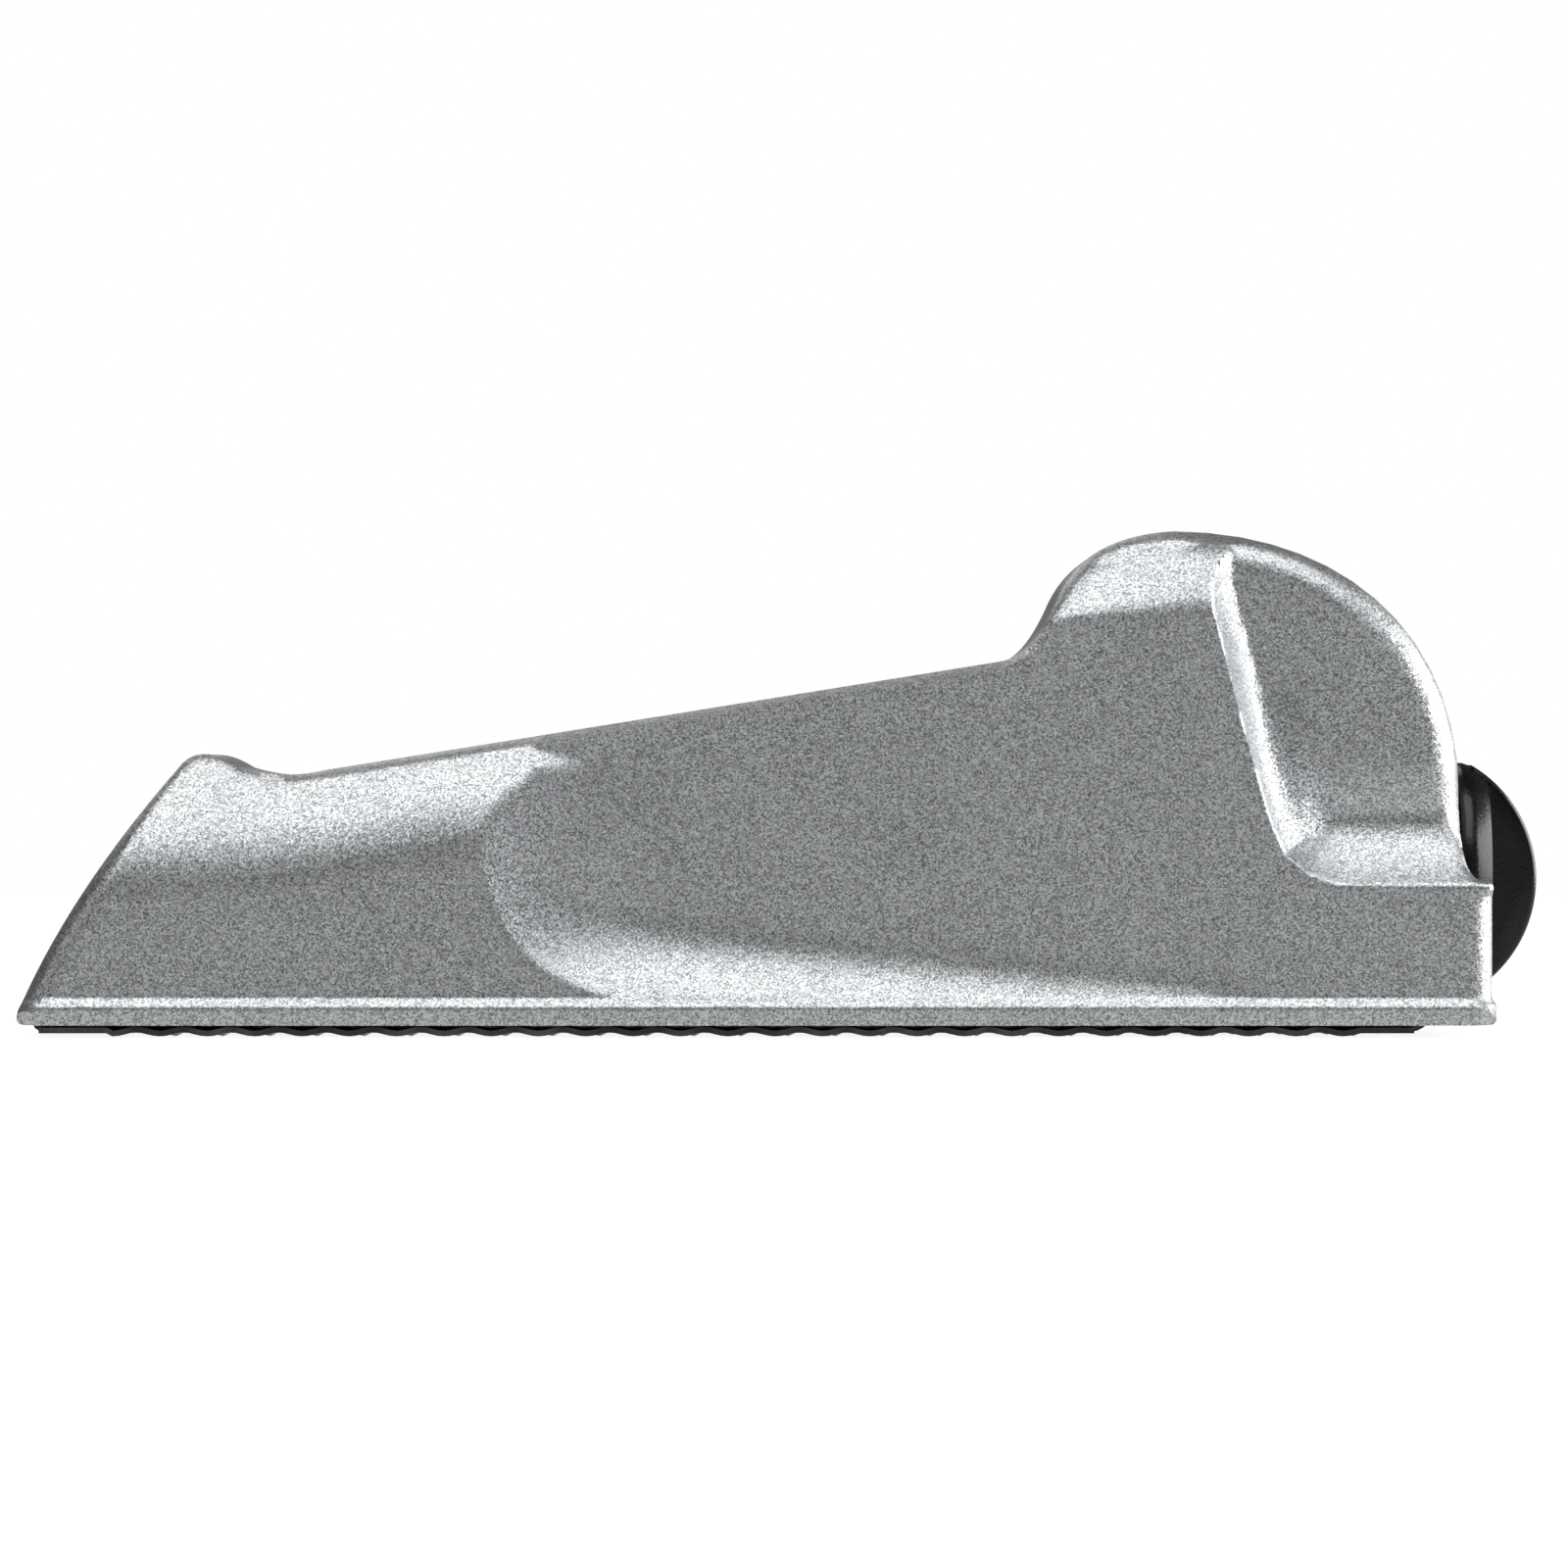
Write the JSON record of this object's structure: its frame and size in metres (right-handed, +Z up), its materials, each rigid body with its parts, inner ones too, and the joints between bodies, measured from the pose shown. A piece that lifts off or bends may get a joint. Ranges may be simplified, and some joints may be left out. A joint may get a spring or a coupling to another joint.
{
  "type": "pocket rasp plane",
  "caption": "Small hand plane with a hollow cast body, a perforated rasp blade as its sole and a wing knob at the heel that pulls the blade tight.",
  "frame": {"origin": "centre of the object's footprint, at the blade's underside", "axes": "+X from toe to heel, +Y across the width, +Z up"},
  "size_m": [0.1526, 0.042, 0.0505],
  "materials": {
    "grey_metallic_paint": "fine metallic sparkle, satin",
    "blackened_steel": "blackened, slightly oily",
    "black_plastic": "gloss",
    "plated_steel": "zinc plated",
    "spring_steel": "dark spring steel"
  },
  "bodies": {
    "plane_body": {"body_casting": "grey_metallic_paint", "rasp_blade": "blackened_steel"},
    "knob": {"wing_knob": "black_plastic", "tension_screw": "plated_steel", "thrust_washer": "plated_steel", "retaining_ring": "spring_steel"},
    "hook": {"tension_hook": "plated_steel", "square_nut": "plated_steel"}
  },
  "joints": [
    {"name": "knob_turn", "type": "hinge", "parent": "plane_body", "child": "knob", "pos_m": [0.068, 0, 0.0156], "axis": [1, 0, 0], "range_deg": [0, 1800]},
    {"name": "hook_slide", "type": "slide", "parent": "plane_body", "child": "hook", "axis": [-1, 0, 0], "range_m": [0, 0.005]}
  ],
  "couplings": [
    {"joint": "hook_slide", "follows": "knob_turn", "m_per_rad": 0.000159}
  ]
}
